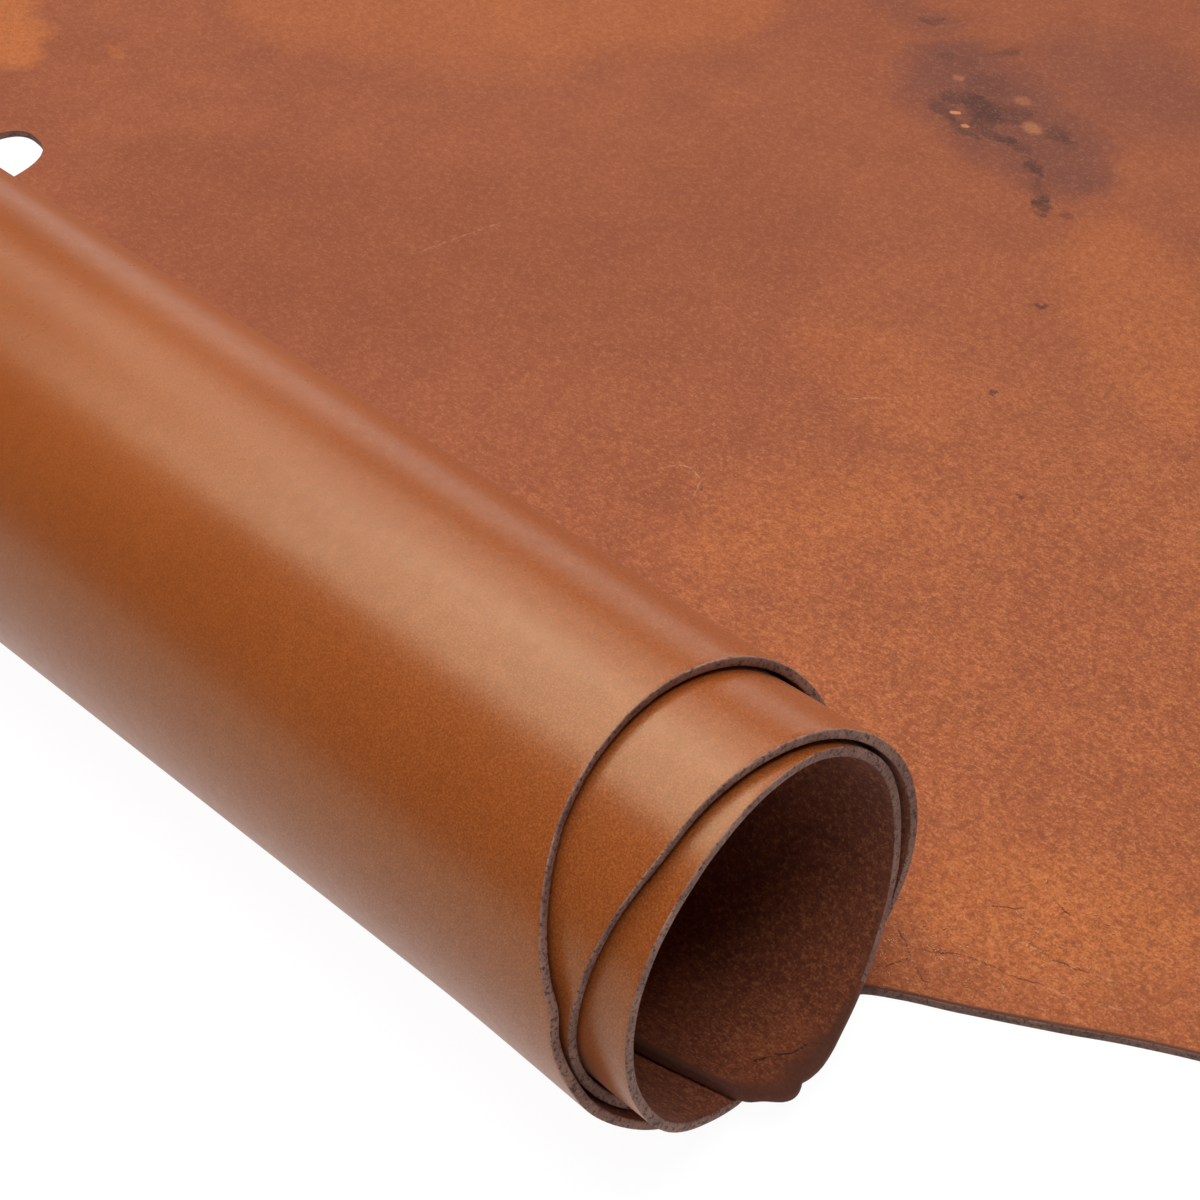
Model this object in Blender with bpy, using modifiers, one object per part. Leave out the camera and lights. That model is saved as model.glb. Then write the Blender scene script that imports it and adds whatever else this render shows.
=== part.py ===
"""A leather side: half a hide of smooth tan leather, with one end of it rolled up.

The sheet is one piece. Its flat part lies flesh side up, and its left end is rolled over three times
with the grain side out, so each turn of the roll lies inside the turn before it. The near edge is the
belly's own uneven edge, which is why the turns stand out of the roll's open end by different amounts.
The far edge is the straight cut along the backbone. A small hole goes through the flat part.

Everything is worked out in millimetres from two lines: the roll's axis, at x = 0, and the reference
line behind which the near edge lies, at y = 0. The finished sheet is then moved to its own frame, with
the origin in the middle of its box at floor level, and is one Blender object in metres.
"""

import math
from collections import namedtuple

import bmesh
import bpy
import numpy

MM = 0.001

# The sheet
THICKNESS = 2.8
FLAT_LENGTH = 1200.0        # from under the roll's axis to the sheet's plain end
BACK_REACH = 950.0          # the straight back edge

# The roll
ROLL_RADIUS = 60.0          # outside of the outermost turn
TURN = 360.0                # degrees
ROLL_END = 1120.0           # degrees of winding, a little over three turns
REST_GAP = 0.45             # between turns at the bottom, where they rest on each other
FLAT_SPOT = 9.0             # half the width of the strip that the roll rests on
SETTLE_SPAN = 60.0          # degrees each side of the bottom over which a turn settles
CLOSING_START = 240.0       # degrees into a turn where it begins to close over the next one
SETTLE_BLEND = 0.3          # how softly a turn meets what it rests on

# The turns spring open a little towards the near end
FLARE = 2.0
FLARE_FULL = 15.0           # reach at which the roll is fully flared
FLARE_NONE = 97.0           # reach behind which it isn't flared

# The hole
HOLE_X, HOLE_REACH = 119.0, 516.0
HOLE_HALF_WIDTH, HOLE_HALF_DEPTH = 22.4, 14.3
HOLE_ROUNDNESS = 2.6        # 2 is an ellipse, and more is squarer
HOLE_SLANT = 0.12
HOLE_SIDES = 28

# How finely the solid is divided: columns one step apart, as far as each place along the sheet
WindingZone = namedtuple("WindingZone", "until step")
WINDING_ZONES = (
    WindingZone(40, 5), WindingZone(320, 10), WindingZone(400, 5), WindingZone(680, 10),
    WindingZone(760, 5), WindingZone(1040, 10), WindingZone(ROLL_END, 5),
)
FlatZone = namedtuple("FlatZone", "until step")
FLAT_ZONES = (
    FlatZone(30, 10), FlatZone(90, 6), FlatZone(360, 15), FlatZone(1110, 75),
    FlatZone(1180, 14), FlatZone(FLAT_LENGTH, 5),
)
ROW_FRACTIONS = (0.0, 0.022, 0.048, 0.085, 0.2, 0.46, 0.73, 1.0)

# Gap between a turn and the turn outside it, by the degrees of winding
Gap = namedtuple("Gap", "winding gap")
GAPS = (
    Gap(360, REST_GAP), Gap(385, 1.0), Gap(425, 1.2), Gap(460, 1.7), Gap(500, 1.6), Gap(540, 1.3),
    Gap(592, 1.1), Gap(640, 1.1), Gap(690, 0.9), Gap(720, REST_GAP), Gap(745, 0.7), Gap(785, 0.7),
    Gap(820, 1.1), Gap(860, 1.6), Gap(900, 1.8), Gap(930, 1.6), Gap(955, 1.3), Gap(985, 2.6),
    Gap(1010, 1.8), Gap(1045, 1.2), Gap(1075, 0.6), Gap(1090, 0.7), Gap(ROLL_END, 0.8),
)

# The near edge where the sheet is rolled: its reach by the degrees of winding
RollEdge = namedtuple("RollEdge", "winding reach")
ROLL_EDGE = (
    RollEdge(-20, 29.3), RollEdge(0, 29.5), RollEdge(34, 31.8), RollEdge(57, 36.8), RollEdge(75, 39.4),
    RollEdge(84, 42.7), RollEdge(92, 44.7), RollEdge(102, 46.4), RollEdge(107, 49.8),
    RollEdge(113, 52.9), RollEdge(121, 56.5), RollEdge(144, 64.9), RollEdge(172, 68.5),
    RollEdge(204, 66.8), RollEdge(232, 61.8), RollEdge(270, 52.0), RollEdge(330, 37.0),
    RollEdge(372, 33.5), RollEdge(408, 37.5), RollEdge(432, 42.3), RollEdge(458, 43.0),
    RollEdge(490, 41.4), RollEdge(509, 39.4), RollEdge(528, 39.0), RollEdge(545, 37.6),
    RollEdge(558, 36.1), RollEdge(585, 31.9), RollEdge(613, 26.6), RollEdge(640, 23.3),
    RollEdge(690, 22.6), RollEdge(741, 22.6), RollEdge(783, 23.2), RollEdge(800, 25.9),
    RollEdge(830, 29.1), RollEdge(873, 31.3), RollEdge(940, 31.6), RollEdge(964, 28.3),
    RollEdge(998, 24.6), RollEdge(1027, 20.3), RollEdge(1058, 14.9), RollEdge(1074, 12.5),
    RollEdge(1077.5, 12.8), RollEdge(1080, 13.2), RollEdge(1082, 12.2), RollEdge(1085, 11.8),
    RollEdge(1088, 13.0), RollEdge(1092, 17.1), RollEdge(1097, 21.6), RollEdge(1103, 35.1),
    RollEdge(1109, 48.3), RollEdge(1115, 68.0), RollEdge(ROLL_END, 98.0),
)

# The near edge where the sheet lies flat, with the leg that stands out of it
FlatEdge = namedtuple("FlatEdge", "x reach")
FLAT_EDGE = (
    FlatEdge(-10, 29.6), FlatEdge(0, 29.5), FlatEdge(20, 28.3), FlatEdge(33, 26.4),
    FlatEdge(40.3, 22.9), FlatEdge(45.6, 14.4), FlatEdge(53.5, -1.0), FlatEdge(65.6, -23.0),
    FlatEdge(77.8, -44.6), FlatEdge(84.3, -57.6), FlatEdge(96, -84), FlatEdge(112, -112),
    FlatEdge(135, -135), FlatEdge(165, -148), FlatEdge(200, -150), FlatEdge(235, -141),
    FlatEdge(262, -121), FlatEdge(288, -93), FlatEdge(318, -67), FlatEdge(360, -50),
    FlatEdge(430, -45), FlatEdge(540, -51), FlatEdge(680, -54), FlatEdge(820, -42),
    FlatEdge(950, -18), FlatEdge(1050, 12), FlatEdge(1120, 45), FlatEdge(1165, 88),
    FlatEdge(1190, 135), FlatEdge(1200, 190),
)

# The far corner of the flat part is rounded
BackEdge = namedtuple("BackEdge", "x reach")
BACK_EDGE = (
    BackEdge(1060, BACK_REACH), BackEdge(1120, BACK_REACH), BackEdge(1160, 938),
    BackEdge(1187, 908), BackEdge(FLAT_LENGTH, 860),
)

GRAIN_COLOUR = (0.40, 0.17, 0.055)
FLESH_COLOUR = (0.34, 0.12, 0.045)


def smooth_step(amount):
    """Ease from 0 to 1."""
    amount = min(max(amount, 0.0), 1.0)
    return amount * amount * (3 - 2 * amount)


def smooth_curve(rows, place):
    """Read a smooth curve through a table's rows of place and value, and level beyond its ends."""
    places = [row[0] for row in rows]
    values = [row[1] for row in rows]
    slopes = numpy.gradient(values, places)
    place = min(max(place, places[0]), places[-1])
    left = min(int(numpy.searchsorted(places, place, side="right")) - 1, len(rows) - 2)
    span = places[left + 1] - places[left]
    part = (place - places[left]) / span
    ease = smooth_step(part)
    return (
        values[left] * (1 - ease) + values[left + 1] * ease
        + span * slopes[left] * part * (1 - part) ** 2
        - span * slopes[left + 1] * part ** 2 * (1 - part)
    )


def turn_radius(winding):
    """Radius of the sheet's grain side, each turn inside the one before by its thickness and gap."""
    turn = max(math.ceil(winding / TURN) - 1, 0)
    into_turn = winding - turn * TURN
    closing = smooth_step((into_turn - CLOSING_START) / (TURN - CLOSING_START))
    radius = ROLL_RADIUS - (THICKNESS + REST_GAP) * closing
    for inner in range(1, turn + 1):
        radius -= THICKNESS + smooth_curve(GAPS, into_turn + inner * TURN)
    return radius


def flare(reach):
    """How far the turns have sprung open at a reach."""
    return FLARE * smooth_step((FLARE_NONE - reach) / (FLARE_NONE - FLARE_FULL))


def rolled_point(winding, reach):
    """The x and z of the grain side, where the sheet has been rolled by this many degrees."""
    radius = turn_radius(winding) + flare(reach)
    angle = math.radians(winding)
    x = -radius * math.sin(angle)
    z = ROLL_RADIUS - radius * math.cos(angle)
    # Near the bottom the turn flattens on the layers below it
    layers = round(winding / TURN)
    rest = layers * (THICKNESS + REST_GAP)
    settled = smooth_step(1 - abs(winding - layers * TURN) / SETTLE_SPAN)
    sink = ROLL_RADIUS - math.sqrt(ROLL_RADIUS ** 2 - FLAT_SPOT ** 2)
    height = z - rest - sink * settled
    z = rest + 0.5 * (height + math.hypot(height, SETTLE_BLEND * settled))
    return x, z


def divided(zones):
    """Places along the sheet from 0, one every step of the zone that they are in."""
    places = [0.0]
    for zone in zones:
        steps = max(round((zone.until - places[-1]) / zone.step), 1)
        places.extend(numpy.linspace(places[-1], zone.until, steps + 1)[1:])
    return places


def sheet_columns():
    """Columns of points over the whole grain side, from the plain end to the end inside the roll."""
    columns = []
    for x in reversed(divided(FLAT_ZONES)):
        near = smooth_curve(FLAT_EDGE, x)
        far = smooth_curve(BACK_EDGE, x)
        columns.append([(x, near + (far - near) * fraction, 0.0) for fraction in ROW_FRACTIONS])
    for winding in divided(WINDING_ZONES)[1:]:
        near = smooth_curve(ROLL_EDGE, winding)
        column = []
        for fraction in ROW_FRACTIONS:
            reach = near + (BACK_REACH - near) * fraction
            x, z = rolled_point(winding, reach)
            column.append((x, reach, z))
        columns.append(column)
    return columns


def leather_material(name, colour, roughness):
    """A plain finish for one side of the leather."""
    material = bpy.data.materials.new(name)
    material.use_nodes = True
    shader = material.node_tree.nodes["Principled BSDF"]
    shader.inputs["Base Color"].default_value = (*colour, 1.0)
    shader.inputs["Roughness"].default_value = roughness
    shader.inputs["Metallic"].default_value = 0.0
    return material


def build_sheet(collection):
    """The open grain surface, thickened towards the flesh side."""
    columns = sheet_columns()
    mesh = bpy.data.meshes.new("leather_side")
    bm = bmesh.new()
    grid = [[bm.verts.new((x * MM, y * MM, z * MM)) for x, y, z in column] for column in columns]
    for right, left in zip(grid, grid[1:]):
        for row in range(len(ROW_FRACTIONS) - 1):
            # Wound so that the grain side faces down where the sheet is flat
            bm.faces.new((right[row], left[row], left[row + 1], right[row + 1]))
    bm.to_mesh(mesh)
    bm.free()
    mesh.shade_smooth()
    sheet = bpy.data.objects.new("leather_side", mesh)
    collection.objects.link(sheet)
    mesh.materials.append(leather_material("grain side", GRAIN_COLOUR, 0.38))
    mesh.materials.append(leather_material("flesh side", FLESH_COLOUR, 0.9))
    solid = sheet.modifiers.new("thickness", "SOLIDIFY")
    solid.thickness = THICKNESS * MM
    solid.offset = -1.0
    solid.use_even_offset = True
    solid.material_offset = 1
    solid.material_offset_rim = 1
    return sheet


def build_hole_cutter(collection):
    """An upright block with the hole's outline."""
    curve = bpy.data.curves.new("hole_cutter", "CURVE")
    curve.dimensions = "2D"
    curve.fill_mode = "BOTH"
    curve.extrude = 4 * THICKNESS * MM
    outline = curve.splines.new("POLY")
    outline.points.add(HOLE_SIDES - 1)
    for number, point in enumerate(outline.points):
        angle = math.tau * number / HOLE_SIDES
        across = math.cos(angle)
        along = math.sin(angle)
        x = math.copysign(abs(across) ** (2 / HOLE_ROUNDNESS), across) * HOLE_HALF_WIDTH
        y = math.copysign(abs(along) ** (2 / HOLE_ROUNDNESS), along) * HOLE_HALF_DEPTH
        point.co = ((x + HOLE_SLANT * y) * MM, y * MM, 0.0, 1.0)
    outline.use_cyclic_u = True
    drawn = bpy.data.objects.new("hole_outline", curve)
    collection.objects.link(drawn)
    bpy.context.view_layer.update()
    evaluated = drawn.evaluated_get(bpy.context.evaluated_depsgraph_get())
    mesh = bpy.data.meshes.new_from_object(evaluated)
    bpy.data.objects.remove(drawn)
    bm = bmesh.new()
    bm.from_mesh(mesh)
    bmesh.ops.remove_doubles(bm, verts=bm.verts, dist=0.01 * MM)
    bmesh.ops.recalc_face_normals(bm, faces=bm.faces)
    bm.to_mesh(mesh)
    bm.free()
    cutter = bpy.data.objects.new("hole_cutter", mesh)
    cutter.location = (HOLE_X * MM, HOLE_REACH * MM, 0.0)
    cutter.hide_render = True
    cutter.display_type = "WIRE"
    collection.objects.link(cutter)
    return cutter


def centre_on_floor(sheet, cutter):
    """Move the sheet and its cutter so that the origin is under the middle of the sheet's box."""
    bpy.context.view_layer.update()
    evaluated = sheet.evaluated_get(bpy.context.evaluated_depsgraph_get())
    corners = numpy.array(evaluated.bound_box)
    middle = (corners.min(axis=0) + corners.max(axis=0)) / 2
    for vertex in sheet.data.vertices:
        vertex.co.x -= middle[0]
        vertex.co.y -= middle[1]
    cutter.location.x -= middle[0]
    cutter.location.y -= middle[1]


def main():
    for old in list(bpy.data.objects):
        bpy.data.objects.remove(old)
    parts = bpy.data.collections.new("Leather side")
    cutters = bpy.data.collections.new("Cutters")
    bpy.context.scene.collection.children.link(parts)
    bpy.context.scene.collection.children.link(cutters)
    sheet = build_sheet(parts)
    cutter = build_hole_cutter(cutters)
    centre_on_floor(sheet, cutter)
    hole = sheet.modifiers.new("hole", "BOOLEAN")
    hole.operation = "DIFFERENCE"
    hole.solver = "EXACT"
    hole.object = cutter


main()
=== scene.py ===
"""The looks of a leather side that lies flesh side up, with one end of it rolled up.

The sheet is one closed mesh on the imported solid's own shape, with finer turns, rounded cut edges and the
soft wrinkles of the belly edge. It has three kinds of finish: the smooth grain side, the napped flesh side
and the cut edge. A second piece holds the loose fibres that lie on it.

The sheet is worked out in millimetres from the roll's axis, at x = 0, and the reference line, at reach 0.
Along the sheet a place is an x where it lies flat and degrees of winding where it is rolled. A place that
is seen in the photograph is given by its pixel in the 1200 x 1200 frame.
"""

import math
import random
from collections import namedtuple

import bpy
import numpy
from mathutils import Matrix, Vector


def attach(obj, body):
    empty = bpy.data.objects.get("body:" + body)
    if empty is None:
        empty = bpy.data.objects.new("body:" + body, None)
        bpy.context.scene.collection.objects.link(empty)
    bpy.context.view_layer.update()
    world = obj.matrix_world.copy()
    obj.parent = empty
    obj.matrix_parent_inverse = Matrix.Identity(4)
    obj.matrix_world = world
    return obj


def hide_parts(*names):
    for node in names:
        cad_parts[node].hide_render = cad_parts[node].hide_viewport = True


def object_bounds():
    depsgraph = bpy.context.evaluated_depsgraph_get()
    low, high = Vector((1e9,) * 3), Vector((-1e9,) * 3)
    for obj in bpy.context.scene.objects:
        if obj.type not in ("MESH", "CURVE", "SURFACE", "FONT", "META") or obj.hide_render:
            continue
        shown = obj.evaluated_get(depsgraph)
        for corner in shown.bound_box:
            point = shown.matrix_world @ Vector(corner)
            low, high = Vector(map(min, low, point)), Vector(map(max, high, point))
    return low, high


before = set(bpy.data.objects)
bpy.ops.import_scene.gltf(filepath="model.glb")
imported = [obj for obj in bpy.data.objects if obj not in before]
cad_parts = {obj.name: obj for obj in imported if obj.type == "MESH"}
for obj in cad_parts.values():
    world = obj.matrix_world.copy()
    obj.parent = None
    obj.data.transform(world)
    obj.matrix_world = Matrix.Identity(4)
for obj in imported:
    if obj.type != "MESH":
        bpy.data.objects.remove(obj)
cad_low, cad_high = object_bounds()

MM = 0.001

# The sheet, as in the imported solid
THICKNESS = 2.8
FLAT_LENGTH = 1200.0
BACK_REACH = 950.0
AXIS_X = cad_high.x - FLAT_LENGTH * MM
LINE_Y = cad_high.y - BACK_REACH * MM

# The roll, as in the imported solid
ROLL_RADIUS = 60.0
TURN = 360.0
ROLL_END = 1120.0
REST_GAP = 0.45
FLAT_SPOT = 9.0
SETTLE_SPAN = 60.0
CLOSING_START = 240.0
SETTLE_BLEND = 0.3
FLARE = 2.0
FLARE_FULL = 15.0
FLARE_NONE = 97.0

# The hole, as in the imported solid
HOLE_X, HOLE_REACH = 119.0, 516.0
HOLE_HALF_WIDTH, HOLE_HALF_DEPTH = 22.4, 14.3
HOLE_ROUNDNESS = 2.6
HOLE_SLANT = 0.12
HOLE_SIDES = 72
SHARP_ANGLE = math.radians(50)      # the hole's rim is a sharp corner

# The cut edge
CORNER = 0.45               # radius of its two rounded corners
CORNER_STEPS = 3
EDGE_BULGE = 0.1
EDGE_WANDER = 0.14          # how far the knife wandered
WANDER_PERIODS = (5.3, 9.1, 17.0, 41.0)     # in points of the mesh along the edge
FAR_SEED, NEAR_SEED = 3, 4

# The order of the sheet's finishes, and how far the belly edge's own stretches
GRAIN, EDGE, FLESH_ROLL, FLESH_FLAT, FLESH_BELLY = range(5)
BELLY_X, BELLY_REACH = 132.0, 60.0
RIM_AND_TIP_SHADE = "rim"                 # the name of the value that says how dark and fuzzy a point's rim is, and how much painted shade the roll's inner tip has
CLEAN_RIM = 0.45            # that value at a clean cut
SOFT_RIM = 0.72             # that value one step in from a frayed edge
SOFTER_RIM = 0.18           # and two steps in
FRAYED_FROM = 1040.0        # the last of the winding has a frayed edge, not a clean cut
FRAYED_SPAN = 20.0
TIP_SHADE_FROM = 1062.0           # from here painted shade darkens the flesh towards its rim bit by bit over some rows of points
TIP_SHADE_ROWS = 7

# How finely the mesh is divided
Zone = namedtuple("Zone", "until step")
WINDING_ZONES = (Zone(1076, 2.6), Zone(ROLL_END, 1.1))
FLAT_ZONES = (
    Zone(132, 1.6), Zone(200, 4), Zone(560, 12), Zone(1120, 28), Zone(1198.4, 5), Zone(FLAT_LENGTH, 1.6),
)
ROW_ZONES = (Zone(52, 1.6), Zone(100, 6), Zone(180, 16))
FAR_ROWS = 12
FAR_MARGIN = 1.6

# Where the camera of the photograph stands, from the roll's axis and the reference line
PHOTO_SIDE = 1200
FOCAL_PIXELS = 2483.0
SENSOR_MM = 36.0
CAMERA_X, CAMERA_REACH, CAMERA_HEIGHT = -310.25, -200.0, 563.42
CAMERA_TILT = math.radians(45.0)
CAMERA_HEADING = math.radians(47.393)

# Gap between a turn and the turn outside it, by the degrees of winding
Gap = namedtuple("Gap", "winding gap")
GAPS = (
    Gap(360, REST_GAP), Gap(385, 1.0), Gap(425, 1.2), Gap(460, 1.7), Gap(500, 1.6), Gap(540, 1.3),
    Gap(592, 1.1), Gap(640, 1.1), Gap(690, 0.9), Gap(720, REST_GAP), Gap(745, 0.7), Gap(785, 0.7),
    Gap(820, 1.1), Gap(860, 1.6), Gap(900, 1.8), Gap(930, 1.6), Gap(955, 1.3), Gap(985, 2.6),
    Gap(1010, 1.8), Gap(1045, 1.2), Gap(1075, 0.6), Gap(1090, 0.7), Gap(ROLL_END, 0.8),
)

# The near edge where the sheet is rolled: its reach by the degrees of winding
RollEdge = namedtuple("RollEdge", "winding reach")
ROLL_EDGE = (
    RollEdge(-20, 29.3), RollEdge(0, 29.5), RollEdge(34, 31.8), RollEdge(57, 36.8), RollEdge(75, 39.4),
    RollEdge(84, 42.7), RollEdge(92, 44.7), RollEdge(102, 46.4), RollEdge(107, 49.8),
    RollEdge(113, 52.9), RollEdge(121, 56.5), RollEdge(144, 64.9), RollEdge(172, 68.5),
    RollEdge(204, 66.8), RollEdge(232, 61.8), RollEdge(270, 52.0), RollEdge(330, 37.0),
    RollEdge(372, 33.5), RollEdge(408, 37.5), RollEdge(432, 42.3), RollEdge(458, 43.0),
    RollEdge(490, 41.4), RollEdge(509, 39.4), RollEdge(528, 39.0), RollEdge(545, 37.6),
    RollEdge(558, 36.1), RollEdge(585, 31.9), RollEdge(613, 26.6), RollEdge(640, 23.3),
    RollEdge(690, 22.6), RollEdge(741, 22.6), RollEdge(783, 23.2), RollEdge(800, 25.9),
    RollEdge(830, 29.1), RollEdge(873, 31.3), RollEdge(940, 31.6), RollEdge(964, 28.3),
    RollEdge(998, 24.6), RollEdge(1027, 20.3), RollEdge(1058, 14.9), RollEdge(1074, 12.5),
    RollEdge(1077.5, 12.8), RollEdge(1080, 13.2), RollEdge(1082, 12.2), RollEdge(1085, 11.8),
    RollEdge(1088, 13.0), RollEdge(1092, 17.1), RollEdge(1097, 21.6), RollEdge(1103, 35.1),
    RollEdge(1109, 48.3), RollEdge(1115, 68.0), RollEdge(ROLL_END, 98.0),
)

# The near edge where the sheet lies flat, with the leg that stands out of it
FlatEdge = namedtuple("FlatEdge", "x reach")
FLAT_EDGE = (
    FlatEdge(-10, 29.6), FlatEdge(0, 29.5), FlatEdge(20, 28.3), FlatEdge(33, 26.4),
    FlatEdge(40.3, 22.9), FlatEdge(45.6, 14.4), FlatEdge(53.5, -1.0), FlatEdge(65.6, -23.0),
    FlatEdge(77.8, -44.6), FlatEdge(84.3, -57.6), FlatEdge(96, -84), FlatEdge(112, -112),
    FlatEdge(135, -135), FlatEdge(165, -148), FlatEdge(200, -150), FlatEdge(235, -141),
    FlatEdge(262, -121), FlatEdge(288, -93), FlatEdge(318, -67), FlatEdge(360, -50),
    FlatEdge(430, -45), FlatEdge(540, -51), FlatEdge(680, -54), FlatEdge(820, -42),
    FlatEdge(950, -18), FlatEdge(1050, 12), FlatEdge(1120, 45), FlatEdge(1165, 88),
    FlatEdge(1190, 135), FlatEdge(1200, 190),
)

# The far corner of the flat part is rounded
BackEdge = namedtuple("BackEdge", "x reach")
BACK_EDGE = (
    BackEdge(1060, BACK_REACH), BackEdge(1120, BACK_REACH), BackEdge(1160, 938),
    BackEdge(1187, 908), BackEdge(FLAT_LENGTH, 860),
)


def smooth_step(amount):
    """Ease from 0 to 1."""
    amount = numpy.clip(amount, 0.0, 1.0)
    return amount * amount * (3 - 2 * amount)


def smooth_curve(rows, place):
    """Read a smooth curve through a table's rows of place and value, and level beyond its ends."""
    places = numpy.array([row[0] for row in rows], float)
    values = numpy.array([row[1] for row in rows], float)
    slopes = numpy.gradient(values, places)
    place = min(max(place, places[0]), places[-1])
    left = min(int(numpy.searchsorted(places, place, side="right")) - 1, len(rows) - 2)
    span = places[left + 1] - places[left]
    part = (place - places[left]) / span
    ease = smooth_step(part)
    return (
        values[left] * (1 - ease) + values[left + 1] * ease
        + span * slopes[left] * part * (1 - part) ** 2
        - span * slopes[left + 1] * part ** 2 * (1 - part)
    )


def turn_radius(winding):
    """Radius of the sheet's grain side, each turn inside the one before by its thickness and gap."""
    turn = max(math.ceil(winding / TURN) - 1, 0)
    into_turn = winding - turn * TURN
    closing = smooth_step((into_turn - CLOSING_START) / (TURN - CLOSING_START))
    radius = ROLL_RADIUS - (THICKNESS + REST_GAP) * closing
    for inner in range(1, turn + 1):
        radius -= THICKNESS + smooth_curve(GAPS, into_turn + inner * TURN)
    return radius


def rolled_points(winding, reaches):
    """The x and z of the grain side at some reaches, where the sheet has been rolled by this many degrees."""
    flare = FLARE * smooth_step((FLARE_NONE - reaches) / (FLARE_NONE - FLARE_FULL))
    radius = turn_radius(winding) + flare
    angle = math.radians(winding)
    x = -radius * math.sin(angle)
    z = ROLL_RADIUS - radius * math.cos(angle)
    layers = round(winding / TURN)
    rest = layers * (THICKNESS + REST_GAP)
    settled = smooth_step(1 - abs(winding - layers * TURN) / SETTLE_SPAN)
    sink = ROLL_RADIUS - math.sqrt(ROLL_RADIUS ** 2 - FLAT_SPOT ** 2)
    height = z - rest - sink * settled
    z = rest + 0.5 * (height + numpy.hypot(height, SETTLE_BLEND * settled))
    return x, z


# The photograph's view


def view_axes():
    """The camera's right, up and forward directions."""
    sideways = Vector((math.cos(CAMERA_HEADING), -math.sin(CAMERA_HEADING), 0))
    level = Vector((math.sin(CAMERA_HEADING), math.cos(CAMERA_HEADING), 0))
    down = Vector((0, 0, -1))
    forward = level * math.cos(CAMERA_TILT) + down * math.sin(CAMERA_TILT)
    upward = level * math.sin(CAMERA_TILT) - down * math.cos(CAMERA_TILT)
    return sideways, upward, forward


def on_flesh(across, down):
    """The x and reach at which a pixel of the photograph shows the flat part's flesh side."""
    sideways, upward, forward = view_axes()
    middle = PHOTO_SIDE / 2
    ray = forward + sideways * ((across - middle) / FOCAL_PIXELS) + upward * ((middle - down) / FOCAL_PIXELS)
    distance = (THICKNESS - CAMERA_HEIGHT) / ray.z
    return CAMERA_X + distance * ray.x, CAMERA_REACH + distance * ray.y


def in_frame(x, reach, height):
    """A point of the sheet, in metres in the frame."""
    return Vector((AXIS_X + x * MM, LINE_Y + reach * MM, height * MM))


def make_camera():
    camera = bpy.data.objects.new("camera", bpy.data.cameras.new("camera"))
    camera.data.sensor_width = SENSOR_MM
    camera.data.lens = SENSOR_MM * FOCAL_PIXELS / PHOTO_SIDE
    camera.data.clip_start = 0.01
    camera.location = in_frame(CAMERA_X, CAMERA_REACH, CAMERA_HEIGHT)
    camera.rotation_euler = (math.pi / 2 - CAMERA_TILT, 0, -CAMERA_HEADING)
    bpy.context.scene.collection.objects.link(camera)
    bpy.context.scene.camera = camera


# Creases of the belly edge, from pixel to pixel along each, with their widths in millimetres
Crease = namedtuple("Crease", "across down to_across to_down width depth")
CREASES = (
    Crease(897, 929, 904, 941, 1.0, 1.0), Crease(904, 941, 912, 960, 1.0, 1.0),
    Crease(912, 960, 920, 975, 1.0, 0.8), Crease(872, 966, 884, 967, 0.8, 0.6),
    Crease(884, 967, 896, 963, 1.0, 0.9), Crease(896, 963, 912, 959, 1.0, 0.9),
    Crease(914, 951, 935, 952, 0.8, 0.7), Crease(935, 952, 962, 955, 0.8, 0.9),
    Crease(962, 955, 983, 962, 0.8, 0.7), Crease(983, 962, 1006, 974, 0.8, 0.8),
    Crease(1008, 975, 1044, 985, 0.8, 0.7), Crease(1030, 942, 1052, 959, 0.8, 0.7),
    Crease(1052, 959, 1070, 967, 0.9, 0.9), Crease(1070, 967, 1092, 973, 0.9, 0.8),
    Crease(990, 906, 1030, 909, 0.9, 0.9), Crease(1060, 907, 1072, 916, 1.0, 0.9),
    Crease(918, 972, 924, 982, 0.8, 0.6),
)
GROOVE_WIDTH = 1.6          # of the part of a crease that is in the mesh
GROOVE_DEPTH = 0.3
PUFF_WIDTH = 5.0            # the loose leather stands up softly beside it
PUFF_HEIGHT = 0.34


def divided(zones):
    """Places from 0, one every step of the zone that they are in."""
    places = [0.0]
    for zone in zones:
        steps = max(round((zone.until - places[-1]) / zone.step), 1)
        places.extend(numpy.linspace(places[-1], zone.until, steps + 1)[1:])
    return places


FLAT_PLACES = divided(FLAT_ZONES)
WINDINGS = divided(WINDING_ZONES)[1:]


def row_reaches(near, far):
    """The reaches of one column's points, from just inside the near edge to just inside the far edge."""
    close = CORNER + numpy.array(divided(ROW_ZONES))
    last = far - CORNER
    rest = numpy.linspace(near + close[-1], last - FAR_MARGIN, FAR_ROWS + 1)[1:]
    return numpy.concatenate((near + close, rest, [last]))


def sheet_grid():
    """The grain side as a grid of points, columns along the sheet and rows across it."""
    columns = []
    for x in reversed(FLAT_PLACES):
        reaches = row_reaches(smooth_curve(FLAT_EDGE, x), smooth_curve(BACK_EDGE, x))
        columns.append(numpy.stack((numpy.full_like(reaches, x), reaches, numpy.zeros_like(reaches)), 1))
    for winding in WINDINGS:
        reaches = row_reaches(smooth_curve(ROLL_EDGE, winding), BACK_REACH)
        x, z = rolled_points(winding, reaches)
        columns.append(numpy.stack((x, reaches, z), 1))
    return numpy.array(columns)


def unit(vectors):
    return vectors / numpy.linalg.norm(vectors, axis=-1, keepdims=True)


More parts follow.
